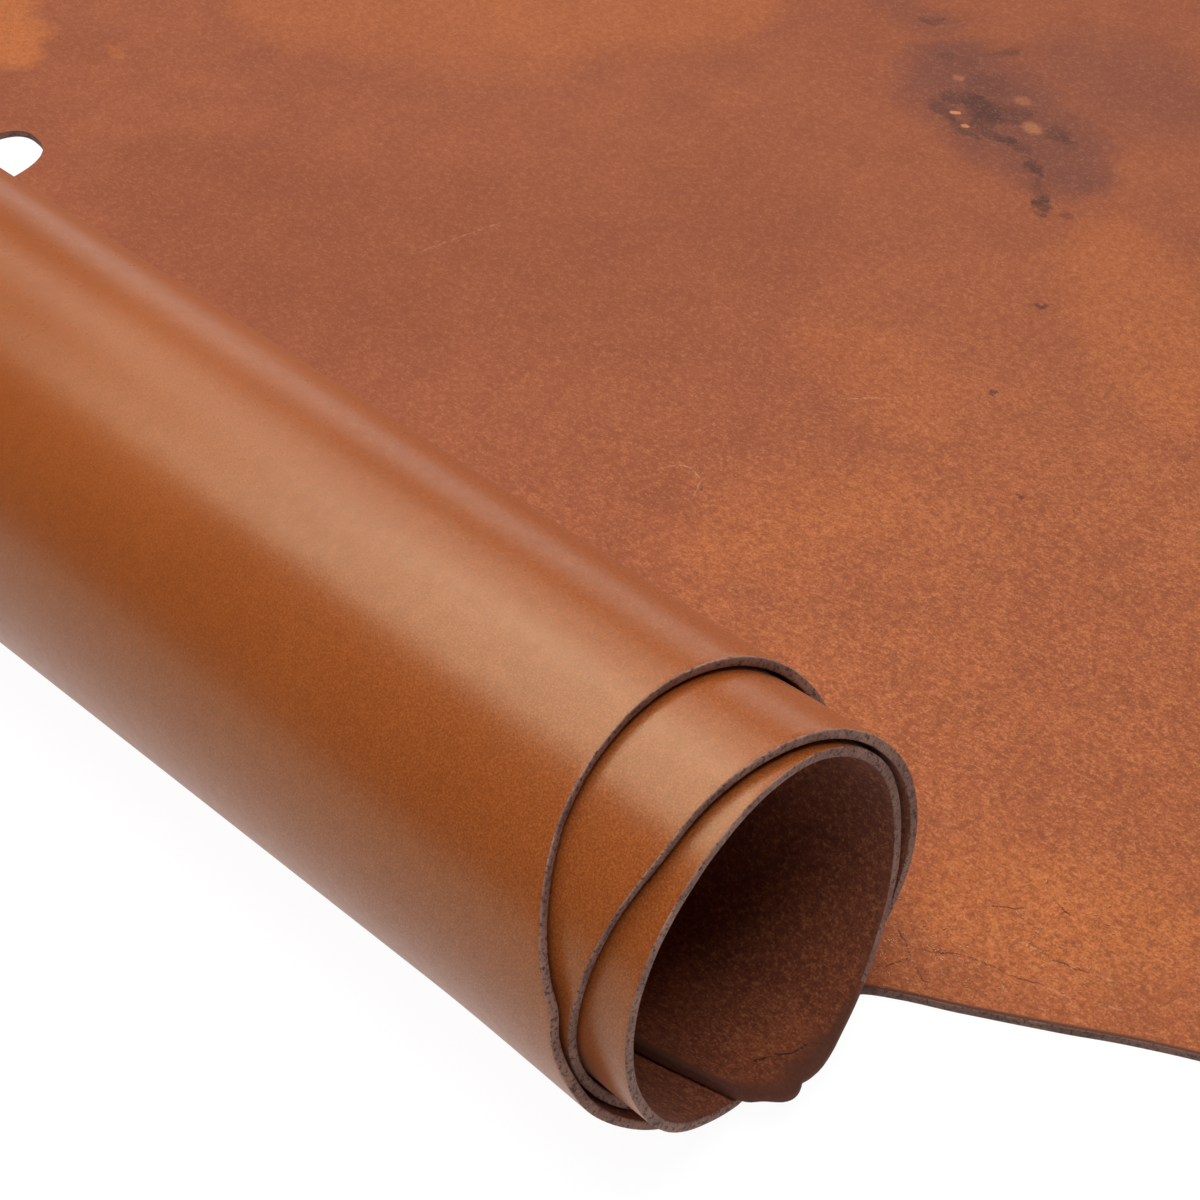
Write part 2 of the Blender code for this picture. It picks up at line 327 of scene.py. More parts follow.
def crease_relief(points):
    """How far the creases raise and sink the flesh side at some points."""
    relief = numpy.zeros(points.shape[:-1])
    flat = points[..., 2] < THICKNESS
    for crease in CREASES:
        start = numpy.array(on_flesh(crease.across, crease.down))
        end = numpy.array(on_flesh(crease.to_across, crease.to_down))
        along = end - start
        place = points[..., :2] - start
        share = numpy.clip((place @ along) / (along @ along), 0, 1)
        away = numpy.linalg.norm(place - share[..., None] * along, axis=-1)
        relief += crease.depth * PUFF_HEIGHT * numpy.exp(-(away / PUFF_WIDTH) ** 2) / 2
        relief -= crease.depth * GROOVE_DEPTH * numpy.exp(-(away / GROOVE_WIDTH) ** 2)
    return relief * flat


def wander(length, seed):
    """A small uneven offset for each of some points along an edge."""
    chance = numpy.random.default_rng(seed)
    places = numpy.arange(length)
    offset = numpy.zeros(length)
    for period in WANDER_PERIODS:
        size = math.sqrt(period / WANDER_PERIODS[-1])
        offset += numpy.sin(2 * math.pi * (places / period + chance.random())) * size
    return EDGE_WANDER * offset / 2


def edge_profile():
    """The rounded cut edge in section: how far each point stands out, and its depth from the grain side."""
    turns = [math.pi / 2 * step / CORNER_STEPS for step in range(1, CORNER_STEPS + 1)]
    corner = [(CORNER * math.sin(turn), CORNER * (1 - math.cos(turn))) for turn in turns]
    middle = [(CORNER + EDGE_BULGE, THICKNESS / 2)]
    return corner + middle + [(out, THICKNESS - depth) for out, depth in reversed(corner)]


def sheet_rings(grid):
    """Closed rings of points round the sheet, one for each column.

    Each ring has the grain side's points, then the far rim's, the flesh side's and the near rim's.
    """
    along = numpy.gradient(grid, axis=0)
    across = numpy.gradient(grid, axis=1)
    inward = unit(numpy.cross(across, along))
    flesh = grid + inward * (THICKNESS + crease_relief(grid))[..., None]
    rims = []
    for row, side, seed in ((-1, 1, FAR_SEED), (0, -1, NEAR_SEED)):
        outward = unit(numpy.cross(unit(along[:, row]), inward[:, row]))
        outward *= side * numpy.sign(numpy.sum(outward * across[:, row], axis=1))[:, None]
        shift = wander(len(grid), seed)
        rim = [
            grid[:, row] + outward * (out + shift * out / CORNER)[:, None] + inward[:, row] * depth
            for out, depth in edge_profile()
        ]
        rims.append(numpy.stack(rim, 1))
    far_rim, near_rim = rims
    return numpy.concatenate((grid, far_rim, flesh[:, ::-1], near_rim[:, ::-1]), axis=1)


def rounded_end(ring, outward, inward):
    """Extra rings that round off an end of the sheet, from one of its end rings."""
    depth = numpy.sum((ring - ring[0]) * inward, axis=1)
    rings = []
    for step in range(1, CORNER_STEPS + 1):
        turn = math.pi / 2 * step / CORNER_STEPS
        inset = CORNER * (1 - math.cos(turn))
        squeezed = numpy.clip(depth, inset, THICKNESS - inset) - depth
        rings.append(ring + outward * CORNER * math.sin(turn) + inward * squeezed[:, None])
    return rings


def closed_rings(grid):
    """The sheet's rings, with the extra ones that round off its two ends."""
    rings = sheet_rings(grid)
    middle = grid.shape[1] // 2
    flat_out = numpy.array((1.0, 0.0, 0.0))
    flat_in = numpy.array((0.0, 0.0, 1.0))
    rolled_out = unit(grid[-1, middle] - grid[-2, middle])
    rolled_in = unit(numpy.cross(grid[-1, -1] - grid[-1, -2], rolled_out))
    start = rounded_end(rings[0], flat_out, flat_in)
    end = rounded_end(rings[-1], rolled_out, rolled_in)
    return numpy.concatenate((start[::-1], rings, end))


def flesh_regions(grid):
    """Which flesh finish each cell of the grid has: the roll's, the flat part's or the belly edge's."""
    middle = (grid[:-1, :-1] + grid[1:, 1:]) / 2
    x, reach = middle[..., 0], middle[..., 1]
    columns = numpy.arange(len(middle))[:, None]
    flat = (grid[1:, :-1, 2] < CORNER) & (columns < len(FLAT_PLACES))
    belly = flat & (x < BELLY_X) & (reach < BELLY_REACH)
    return numpy.where(belly, FLESH_BELLY, numpy.where(flat, FLESH_FLAT, FLESH_ROLL)).tolist()


def rim_and_tip_shade_shares(count, size, rows, rim):
    """How dark and fuzzy each point's rim is, with the painted shade near the roll's inner tip, ring by ring:
    0 inside the cut edge, up to 1 at it.
    """
    far_flesh, near_flesh = rows + rim, 2 * rows + rim - 1
    windings = numpy.array(WINDINGS)
    fraying = CLEAN_RIM + (1 - CLEAN_RIM) * smooth_step((windings - FRAYED_FROM) / FRAYED_SPAN)
    rolled = CORNER_STEPS + len(FLAT_PLACES)
    tip = rolled + int(numpy.sum(windings < TIP_SHADE_FROM))
    shares = numpy.zeros((count, size))
    shares[:, rows - 1:far_flesh + 1] = 1.0
    shares[:, near_flesh:] = 1.0
    shares[:, 0] = 1.0
    shares[:, near_flesh - 1] = SOFT_RIM
    shares[:, near_flesh - 2] = SOFTER_RIM
    shares[rolled:-CORNER_STEPS] *= fraying[:, None]
    # painted shade: the flesh darkens over some rows towards the roll's inner tip
    for step in range(1, TIP_SHADE_ROWS):
        shares[tip:, near_flesh - step] = 1 - step / TIP_SHADE_ROWS
    shares[:CORNER_STEPS + 1] = 1.0
    shares[-CORNER_STEPS - 1:] = 1.0
    return shares


def side_faces(grid, count, size, rows, rim):
    """The faces between neighbouring rings, and the finish of each."""
    flesh_kinds = flesh_regions(grid)
    frayed = len(FLAT_PLACES) + sum(winding < FRAYED_FROM for winding in WINDINGS)
    faces = []
    kinds = []
    for ring in range(count - 1):
        for place in range(size):
            following = (place + 1) % size
            faces.append((
                ring * size + place, ring * size + following,
                (ring + 1) * size + following, (ring + 1) * size + place,
            ))
            column = ring - CORNER_STEPS
            row = 2 * rows + rim - 2 - place
            if column >= len(grid) - 1:
                kinds.append(FLESH_ROLL)
            elif column < 0:
                kinds.append(EDGE)
            elif place < rows - 1:
                kinds.append(GRAIN)
            elif 0 <= row < rows - 1:
                kinds.append(flesh_kinds[column][row])
            elif row < 0 and column >= frayed:
                kinds.append(FLESH_ROLL)
            else:
                kinds.append(EDGE)
    return faces, kinds


def end_faces(count, size, rows, rim):
    """The faces that close the sheet's flat end and its rolled end, and the finish of each."""
    near_flesh = 2 * rows + rim - 1
    caps = [(row, row + 1, near_flesh - 1 - row, near_flesh - row) for row in range(rows - 1)]
    caps.append(tuple(range(rows - 1, rows + rim + 1)))
    caps.append((0, *range(near_flesh, size)))
    rolled = (count - 1) * size
    faces = [cap[::-1] for cap in caps] + [tuple(rolled + corner for corner in cap) for cap in caps]
    return faces, [EDGE] * len(caps) + [FLESH_ROLL] * len(caps)


def build_sheet(finishes):
    """The whole sheet as one closed mesh, without its hole."""
    grid = sheet_grid()
    rows = grid.shape[1]
    rim = len(edge_profile())
    rings = closed_rings(grid)
    count, size = rings.shape[:2]
    points = rings.reshape(-1, 3) * MM + numpy.array((AXIS_X, LINE_Y, 0.0))
    faces, kinds = side_faces(grid, count, size, rows, rim)
    caps, cap_kinds = end_faces(count, size, rows, rim)
    mesh = bpy.data.meshes.new("leather_sheet")
    mesh.from_pydata(points.tolist(), [], faces + caps)
    for finish in finishes:
        mesh.materials.append(finish)
    mesh.polygons.foreach_set("material_index", kinds + cap_kinds)
    shares = mesh.attributes.new(RIM_AND_TIP_SHADE, "FLOAT", "POINT")
    shares.data.foreach_set("value", rim_and_tip_shade_shares(count, size, rows, rim).ravel())
    mesh.shade_smooth()
    if signed_volume(mesh) < 0:
        mesh.flip_normals()
    sheet = bpy.data.objects.new("leather_sheet", mesh)
    bpy.context.scene.collection.objects.link(sheet)
    return sheet


def signed_volume(mesh):
    """The mesh's volume, which is below 0 when its faces point inwards."""
    mesh.calc_loop_triangles()
    places = numpy.zeros(len(mesh.vertices) * 3)
    corners = numpy.zeros(len(mesh.loop_triangles) * 3, dtype=numpy.int32)
    mesh.vertices.foreach_get("co", places)
    mesh.loop_triangles.foreach_get("vertices", corners)
    first, second, third = places.reshape(-1, 3)[corners.reshape(-1, 3)].transpose(1, 0, 2)
    return float(numpy.sum(first * numpy.cross(second, third)) / 6)


def cut_hole(sheet):
    """Cut the hole through the flat part, with a wall of the cut edge's finish."""
    outline = []
    for number in range(HOLE_SIDES):
        angle = math.tau * number / HOLE_SIDES
        across = math.cos(angle)
        along = math.sin(angle)
        x = math.copysign(abs(across) ** (2 / HOLE_ROUNDNESS), across) * HOLE_HALF_WIDTH
        y = math.copysign(abs(along) ** (2 / HOLE_ROUNDNESS), along) * HOLE_HALF_DEPTH
        outline.append((HOLE_X + x + HOLE_SLANT * y, HOLE_REACH + y))
    points = [
        in_frame(x, reach, height) for height in (-2 * THICKNESS, 3 * THICKNESS) for x, reach in outline
    ]
    faces = [tuple(range(HOLE_SIDES))[::-1], tuple(range(HOLE_SIDES, 2 * HOLE_SIDES))]
    for number in range(HOLE_SIDES):
        following = (number + 1) % HOLE_SIDES
        faces.append((number, following, HOLE_SIDES + following, HOLE_SIDES + number))
    mesh = bpy.data.meshes.new("hole_cutter")
    mesh.from_pydata(points, [], faces)
    for finish in sheet.data.materials:
        mesh.materials.append(finish)
    mesh.polygons.foreach_set("material_index", [EDGE] * len(faces))
    cutter = bpy.data.objects.new("hole_cutter", mesh)
    bpy.context.scene.collection.objects.link(cutter)
    cut = sheet.modifiers.new("hole", "BOOLEAN")
    cut.operation = "DIFFERENCE"
    cut.solver = "EXACT"
    cut.object = cutter
    bpy.context.view_layer.update()
    evaluated = sheet.evaluated_get(bpy.context.evaluated_depsgraph_get())
    result = bpy.data.meshes.new_from_object(evaluated)
    sheet.modifiers.clear()
    sheet.data = result
    bpy.data.objects.remove(cutter)
    result.set_sharp_from_angle(angle=SHARP_ANGLE)


# Finishes


def tint(red, green, blue):
    """A colour from its values on a screen, 0 to 255, as the light values that a shader takes."""
    channels = [value / 255 for value in (red, green, blue)]
    linear = [c / 12.92 if c <= 0.04045 else ((c + 0.055) / 1.055) ** 2.4 for c in channels]
    return (*linear, 1.0)


class Finish:
    """A material, with short calls that add its nodes."""

    def __init__(self, name, roughness):
        self.material = bpy.data.materials.new(name)
        self.material.use_nodes = True
        self.nodes = self.material.node_tree.nodes
        self.links = self.material.node_tree.links
        self.shader = self.nodes["Principled BSDF"]
        self.shader.inputs["Roughness"].default_value = roughness
        self.place = self.nodes.new("ShaderNodeTexCoord").outputs["Object"]

    def feed(self, socket, value):
        if isinstance(value, bpy.types.NodeSocket):
            self.links.new(value, socket)
        else:
            socket.default_value = value

    def node(self, kind, inputs, output=0, **settings):
        made = self.nodes.new(kind)
        for name, value in settings.items():
            setattr(made, name, value)
        for name, value in inputs.items():
            self.feed(made.inputs[name], value)
        return made.outputs[output]

    def math(self, operation, first, second):
        return self.node("ShaderNodeMath", {0: first, 1: second}, operation=operation)

    def noise(self, place, scale, detail=2.0, roughness=0.5, output=0):
        inputs = {"Vector": place, "Scale": scale, "Detail": detail, "Roughness": roughness}
        return self.node("ShaderNodeTexNoise", inputs, output)

    def shaken(self, shake):
        """The place moved about unevenly in the sheet's own plane, for ragged outlines."""
        chance = self.noise(self.place, shake.scale, 4.0, 0.6, output=1)
        inputs = {0: chance, 1: (0.5, 0.5, 0.5)}
        offset = self.node("ShaderNodeVectorMath", inputs, operation="SUBTRACT")
        inputs = {0: offset, 1: (shake.reach, shake.reach, 0.0), 2: self.place}
        return self.node("ShaderNodeVectorMath", inputs, operation="MULTIPLY_ADD")

    def stretched(self, place, turn, stretch):
        """The place turned about the upright axis and squeezed, so that a pattern on it runs one way."""
        inputs = {"Vector": place, "Rotation": (0, 0, turn), "Scale": (1, stretch, stretch)}
        return self.node("ShaderNodeMapping", inputs)

    def ramp(self, value, low, high, start=0.0, end=1.0):
        inputs = {"Value": value, "From Min": low, "From Max": high, "To Min": start, "To Max": end}
        return self.node("ShaderNodeMapRange", inputs, interpolation_type="SMOOTHSTEP")

    def mix(self, amount, first, second):
        """The second colour over the first by an amount."""
        inputs = {0: amount, 6: first, 7: second}
        return self.node("ShaderNodeMix", inputs, 2, data_type="RGBA")

    def over(self, colour, tone, amount, share=None):
        """A tone over a colour by an amount, or by a share of that amount."""
        if share is not None:
            amount = self.math("MULTIPLY", amount, share)
        return self.mix(amount, colour, tint(*tone))

    def bump(self, height, depth, strength, under=None):
        inputs = {"Height": height, "Distance": depth, "Strength": strength}
        if under is not None:
            inputs["Normal"] = under
        return self.node("ShaderNodeBump", inputs)

    def distance(self, place, point):
        return self.node("ShaderNodeVectorMath", {0: place, 1: point}, "Value", operation="DISTANCE")

    def coarse(self, near, far):
        """How strong the fine texture is: most by the belly edge, least towards the back."""
        away = self.distance(self.place, in_frame(*BELLY_CORNER, THICKNESS))
        return self.ramp(away, COARSE_UNTIL, FINE_FROM, near, far)

    def oval(self, place, start, end, half_width, softness, strength):
        """How strongly an oval shows at a place: its two ends are an ellipse's two foci."""
        outline = math.hypot((end - start).length, 2 * half_width)
        full = math.hypot((end - start).length, 2 * half_width * (1 - softness))
        away = self.math("ADD", self.distance(place, start), self.distance(place, end))
        return self.ramp(away, outline, full, 0.0, strength)


# Marks on the flesh side, each an oval from pixel to pixel with its width in millimetres
Mark = namedtuple("Mark", "across down to_across to_down width softness strength")

DARK_STAINS = (
    Mark(920, 20, 943, 21, 9.0, 1.0, 0.6), Mark(944, 57, 949, 55, 14.0, 1.0, 0.45),
    Mark(958, 65, 983, 61, 13.0, 1.0, 0.35), Mark(990, 52, 1017, 55, 12.0, 1.0, 0.5),
    Mark(944, 97, 978, 99, 17.0, 1.0, 0.65), Mark(934, 102, 950, 122, 10.0, 1.0, 0.6),
    Mark(948, 122, 978, 138, 10.0, 1.0, 0.6), Mark(974, 98, 988, 132, 18.0, 1.0, 0.6),
    Mark(984, 112, 1026, 116, 24.0, 1.0, 0.65), Mark(975, 78, 1006, 92, 26.0, 1.0, 0.4),
    Mark(992, 136, 1008, 141, 13.0, 1.0, 0.6), Mark(1002, 137, 1030, 156, 11.0, 1.0, 0.55),
    Mark(1030, 162, 1038, 173, 12.0, 1.0, 0.9), Mark(1036, 178, 1042, 202, 9.0, 1.0, 0.5),
    Mark(1041, 200, 1045, 216, 8.0, 1.0, 0.85), Mark(1054, 129, 1066, 137, 16.0, 1.0, 0.55),
    Mark(1066, 138, 1070, 148, 11.0, 1.0, 0.4), Mark(1062, 214, 1072, 219, 8.0, 1.0, 0.5),
    Mark(1043, 304, 1049, 310, 6.5, 1.0, 0.95),
    Mark(991, 392, 993, 396, 4.0, 0.9, 1.0), Mark(1018, 496, 1019, 499, 3.2, 0.8, 1.0),
    Mark(706, 489, 708, 493, 1.6, 0.7, 0.9), Mark(955, 679, 966, 682, 4.5, 1.0, 0.45),
)
STAIN_HALO = (
    Mark(935, 50, 1080, 185, 84.0, 1.0, 1.0), Mark(940, 96, 1045, 122, 50.0, 1.0, 0.95),
    Mark(885, 8, 945, 28, 34.0, 1.0, 0.5), Mark(1070, 60, 1180, 110, 100.0, 1.0, 0.55),
)
PALE_SPOTS = (
    Mark(951, 112, 960, 113, 3.6, 1.0, 1.0), Mark(962, 125, 969, 127, 3.2, 1.0, 0.85),
    Mark(1028, 124, 1036, 132, 10.0, 1.0, 0.42), Mark(955, 77, 962, 79, 6.0, 1.0, 0.35),
    Mark(1018, 99, 1028, 103, 8.0, 1.0, 0.32),
)
PALE_PATCHES = (
    Mark(-60, -10, 20, 60, 60.0, 0.55, 1.0), Mark(108, 48, 128, 54, 9.0, 1.0, 0.5),
    Mark(240, 0, 760, 6, 120.0, 1.0, 0.48), Mark(280, 25, 460, 40, 60.0, 1.0, 0.4),
    Mark(700, 560, 900, 480, 60.0, 1.0, 0.4), Mark(820, 330, 940, 420, 60.0, 1.0, 0.3),
    Mark(930, 900, 1180, 930, 70.0, 1.0, 0.65), Mark(1100, 230, 1210, 420, 80.0, 1.0, 0.5),
)
DARK_PATCHES = (
    Mark(60, 45, 110, 60, 26.0, 1.0, 0.55), Mark(150, 150, 420, 330, 120.0, 1.0, 0.75),
    Mark(420, 190, 660, 340, 130.0, 1.0, 0.6), Mark(700, 120, 780, 280, 90.0, 1.0, 0.45),
    Mark(620, 470, 700, 510, 26.0, 1.0, 0.5), Mark(860, 0, 1000, 60, 70.0, 1.0, 0.3),
    Mark(0, 118, 30, 124, 12.0, 1.0, 0.5),
)
FLAT_SCRATCHES = (
    Mark(660, 469, 678, 464, 0.9, 1.0, 0.5), Mark(678, 464, 693, 469, 0.9, 1.0, 0.55),
    Mark(693, 469, 701, 480, 0.9, 1.0, 0.6), Mark(701, 480, 694, 497, 0.9, 1.0, 0.5),
    Mark(837, 399, 902, 397, 0.8, 1.0, 0.45), Mark(410, 255, 520, 215, 1.4, 1.0, 0.25),
)
BELLY_SCRATCHES = (
    Mark(1036, 968, 1060, 962, 0.9, 1.0, 0.3), Mark(1008, 938, 1045, 952, 0.8, 1.0, 0.5),
    Mark(1090, 973, 1122, 985, 0.9, 1.0, 0.5), Mark(1040, 985, 1075, 1000, 0.9, 1.0, 0.35),
    Mark(1096, 1002, 1125, 1011, 0.9, 1.0, 0.5), Mark(1062, 1000, 1092, 1018, 0.8, 1.0, 0.3),
    Mark(1085, 915, 1105, 907, 0.9, 1.0, 0.25),
)

# Folds, with painted shade in them, and a painted highlight near the tip of the roll's inner end, by degrees
# of winding and reach
Fold = namedtuple("Fold", "winding reach to_winding to_reach width strength")
TIP_FOLDS = (
    Fold(1087, 27, 1080, 24, 0.9, 0.8), Fold(1080, 24, 1074, 20, 1.2, 1.0),
    Fold(1074, 20, 1068, 19, 1.0, 1.0), Fold(1068, 19, 1064, 15, 0.8, 0.7),
)
TIP_HIGHLIGHT = (
    Fold(1088, 31, 1064, 21, 15.0, 0.6),
)


def marked(finish, place, marks, join="MAXIMUM"):
    """How strongly some marks show at a place, together or the strongest of them alone."""
    amount = 0.0
    for mark in marks:
        start = in_frame(*on_flesh(mark.across, mark.down), THICKNESS)
        end = in_frame(*on_flesh(mark.to_across, mark.to_down), THICKNESS)
        shown = finish.oval(place, start, end, mark.width * MM / 2, mark.softness, mark.strength)
        amount = finish.math(join, amount, shown)
    return amount


def folded(finish, place, folds):
    """How strongly any of some folds of the roll's flesh side shows at a place."""
    amount = 0.0
    for fold in folds:
        ends = []
        for winding, reach in ((fold.winding, fold.reach), (fold.to_winding, fold.to_reach)):
            x, height = rolled_points(winding, numpy.array([reach]))
            inward = Vector((-x[0], 0, ROLL_RADIUS - height[0])).normalized() * THICKNESS
            ends.append(in_frame(x[0] + inward.x, reach, height[0] + inward.z))
        shown = finish.oval(place, ends[0], ends[1], fold.width * MM / 2, 1.0, fold.strength)
        amount = finish.math("MAXIMUM", amount, shown)
    return amount


# The colours, as they look on a screen
GRAIN_LIGHT = (170, 90, 40)
GRAIN_DEEP = (158, 79, 33)
GRAIN_PORE = (130, 64, 26)
GRAIN_PALE_AND_GLINT = (214, 128, 68)
FLESH_LIGHT = (191, 108, 61)
FLESH_MID = (176, 96, 56)
FLESH_DEEP = (138, 73, 45)
# painted shade that darkens the flat flesh towards the back
FLESH_BACK_SHADE = (138, 75, 56)
FLESH_ORANGE = (212, 122, 58)
FLESH_PALE = (214, 140, 92)
# painted shade: the flesh inside the roll is the same flesh as the flat part's, given darker colours for the
# shade inside the roll
ROLLED_SHADED_LIGHT = (156, 84, 54)
ROLLED_SHADED_MID = (140, 72, 47)
ROLLED_SHADED_DEEP = (104, 52, 36)
STAIN_COLOUR = (72, 46, 44)
HALO_COLOUR = (116, 68, 58)
PALE_COLOUR = (222, 164, 128)
# painted shade in the creases
CREASE_SHADE = (92, 45, 28)
FOLD_SHADE = (44, 22, 18)
RIM_COLOUR = (82, 54, 44)
# also the colour of the painted shade at the roll's inner tip
ROLLED_RIM_AND_TIP_SHADE = (104, 64, 50)
EDGE_LIGHT = (184, 140, 122)
EDGE_MID = (138, 100, 88)
EDGE_DEEP = (68, 44, 38)
EDGE_LOW_SHADE = (74, 44, 36)    # painted shade on the flat part's cut edge, which lies low in contact shadow
FIBRE_COLOUR = (246, 208, 158)
HIGHLIGHT_TINT = (1.0, 0.91, 0.6, 1.0)

# How fine each pattern is: about how many of its lumps there are in a metre
GRAIN_TONES, GRAIN_MOTTLE, GRAIN_GROWTH, GRAIN_CELLS, GRAIN_PORES = 6.0, 210.0, 420.0, 1500.0, 1900.0
FLESH_CLOUDS, FLESH_WISPS, FLESH_CLUMPS, FLESH_FIBRES, FLESH_GRAINS = 9.0, 48.0, 330.0, 1000.0, 1500.0
EDGE_TONES, EDGE_PITS, EDGE_SPECKS = 90.0, 850.0, 1500.0
FIBRE_TONES = 300.0

# How far the relief of each finish stands up, in metres
GRAIN_RELIEF, FLESH_RELIEF, EDGE_RELIEF = 0.00003, 0.0003, 0.0004

# How ragged the outlines of marks are: how fine the raggedness is, and how far it reaches in metres
Shake = namedtuple("Shake", "scale reach")
PATCH_SHAKE = Shake(34.0, 0.03)
HALO_SHAKE = Shake(50.0, 0.03)
STAIN_SHAKE = Shake(110.0, 0.014)
MARK_SHAKE = Shake(420.0, 0.0022)

# How the leather changes with distance, in metres, from the corner of its belly edge
BELLY_CORNER = (100.0, -100.0)
BACK_SHADE_FROM, BACK_SHADE_FULL = 0.06, 0.42       # painted shade: the flesh darkens towards the back, where the light falls off
COARSE_UNTIL, FINE_FROM = 0.15, 0.48    # and the fine texture of both sides gets weaker
GRAIN_NEAR, GRAIN_FAR = 1.35, 0.45      # how strong the grain's pores are near and far
NAP_FAR = 0.4                           # how strong the nap is far off, as a share of its strength near

RIM_RAGGEDNESS = 0.45       # how much the nap eats into the outline of a dark rim

# The flesh side's colours, and how strong its nap is
FleshTones = namedtuple("FleshTones", "light mid deep rim nap")
OPEN_FLESH = FleshTones(FLESH_LIGHT, FLESH_MID, FLESH_DEEP, RIM_COLOUR, 1.0)
# the roll's flesh takes darker copies of the colours, as painted shade
ROLLED_SHADED_FLESH = FleshTones(ROLLED_SHADED_LIGHT, ROLLED_SHADED_MID, ROLLED_SHADED_DEEP, ROLLED_RIM_AND_TIP_SHADE, 0.95)


def grain_finish():
    """Smooth, even tan with a satin gloss, fine pores with pale flecks that are partly painted glints, and
    faint growth lines.
    """
    finish = Finish("grain side", 0.36)
    finish.shader.inputs["Specular Tint"].default_value = HIGHLIGHT_TINT
    finish.shader.inputs["Sheen Weight"].default_value = 0.09
    finish.shader.inputs["Sheen Roughness"].default_value = 0.35
    place = finish.place
    tones = finish.noise(place, GRAIN_TONES, 3.0)
    mottle = finish.noise(place, GRAIN_MOTTLE, 5.0, 0.65)
    pores = finish.noise(place, GRAIN_PORES, 2.0, 0.65)
    coarse = finish.coarse(GRAIN_NEAR, GRAIN_FAR)
    colour = finish.mix(finish.ramp(tones, 0.3, 0.7), tint(*GRAIN_DEEP), tint(*GRAIN_LIGHT))
    colour = finish.over(colour, GRAIN_PORE, finish.ramp(mottle, 0.35, 0.75, 0.0, 0.24))
    dark = finish.ramp(pores, 0.36, 0.52, finish.math("MULTIPLY", coarse, 0.46), 0.0)
    colour = finish.over(colour, GRAIN_PORE, dark)
    # pale flecks at the pores: partly the grain's own tone, partly painted glints of its gloss
    pale = finish.ramp(pores, 0.48, 0.66, 0.0, finish.math("MULTIPLY", coarse, 0.26))
    colour = finish.over(colour, GRAIN_PALE_AND_GLINT, pale)
    finish.feed(finish.shader.inputs["Base Color"], colour)

    even = finish.ramp(tones, 0.3, 0.7, 0.25, 0.3)
    uneven = finish.ramp(mottle, 0.3, 0.7, 0.0, 0.05)
    finish.feed(finish.shader.inputs["Roughness"], finish.math("ADD", even, uneven))
    cells = finish.node("ShaderNodeTexVoronoi", {"Vector": place, "Scale": GRAIN_CELLS}, "Distance")
    growth = finish.noise(finish.stretched(place, 0.9, 0.35), GRAIN_GROWTH, 3.0, 0.6)
    normal = finish.bump(cells, GRAIN_RELIEF, 0.4)
    normal = finish.bump(growth, GRAIN_RELIEF, 0.2, normal)
    finish.feed(finish.shader.inputs["Normal"], normal)
    return finish.material


def clouded(finish, tones, wisps, patched):
    """The flesh side's broad colour, which has the large patches and the painted shade towards the back where
    it is patched.
    """
    clouds = finish.noise(finish.place, FLESH_CLOUDS, 5.0, 0.55)
    colour = finish.mix(finish.ramp(clouds, 0.34, 0.66), tint(*tones.mid), tint(*tones.light))
    colour = finish.over(colour, tones.deep, finish.ramp(wisps, 0.35, 0.72, 0.0, 0.4))
    if patched:
        away = finish.distance(finish.place, in_frame(*BELLY_CORNER, THICKNESS))
        # painted shade: the flesh darkens with distance from the belly corner, as the light falls off towards
        # the back
        colour = finish.over(colour, FLESH_BACK_SHADE, finish.ramp(away, BACK_SHADE_FROM, BACK_SHADE_FULL, 0.0, 0.56))
        roamed = finish.shaken(PATCH_SHAKE)
        colour = finish.over(colour, FLESH_ORANGE, marked(finish, roamed, PALE_PATCHES), 0.55)
        colour = finish.over(colour, FLESH_DEEP, marked(finish, roamed, DARK_PATCHES), 0.6)
    return colour


def stained(finish, colour, wisps):
    """A colour with the dark stains over it, and the soft halo round them."""
    halo = marked(finish, finish.shaken(HALO_SHAKE), STAIN_HALO)
    colour = finish.over(colour, HALO_COLOUR, halo, 0.85)
    stain = marked(finish, finish.shaken(STAIN_SHAKE), DARK_STAINS, "ADD")
    stain = finish.math("MULTIPLY", stain, finish.ramp(wisps, 0.3, 0.62, 0.8, 1.2))
    return finish.over(colour, STAIN_COLOUR, finish.ramp(stain, 0.05, 1.1, 0.0, 0.88))


def tip_shaded_and_highlit(finish, colour, clumps, ragged_place):
    """A colour with the folds' painted shade and the painted highlight of the roll's inner end over it."""
    # painted highlight: a lighter patch beside the folds
    colour = finish.over(colour, FLESH_MID, folded(finish, finish.place, TIP_HIGHLIGHT), 0.5)
    # painted shade in the folds
    fold = folded(finish, ragged_place, TIP_FOLDS)
    fold = finish.math("MULTIPLY", fold, finish.ramp(clumps, 0.36, 0.6, 0.5, 1.0))
    return finish.over(colour, FOLD_SHADE, finish.ramp(fold, 0.05, 0.8, 0.0, 0.85))


def crease_shaded(finish, colour, clumps, ragged_place):
    """A colour with painted shade in the belly edge's creases over it."""
    crease = marked(finish, ragged_place, [
        Mark(c.across, c.down, c.to_across, c.to_down, c.width, 1.0, c.depth) for c in CREASES
    ])
    crease = finish.math("MULTIPLY", crease, finish.ramp(clumps, 0.36, 0.58, 0.55, 1.2))
    # painted shade: the creases darken where shade falls in them
    return finish.over(colour, CREASE_SHADE, finish.ramp(crease, 0.05, 0.7, 0.0, 0.84))


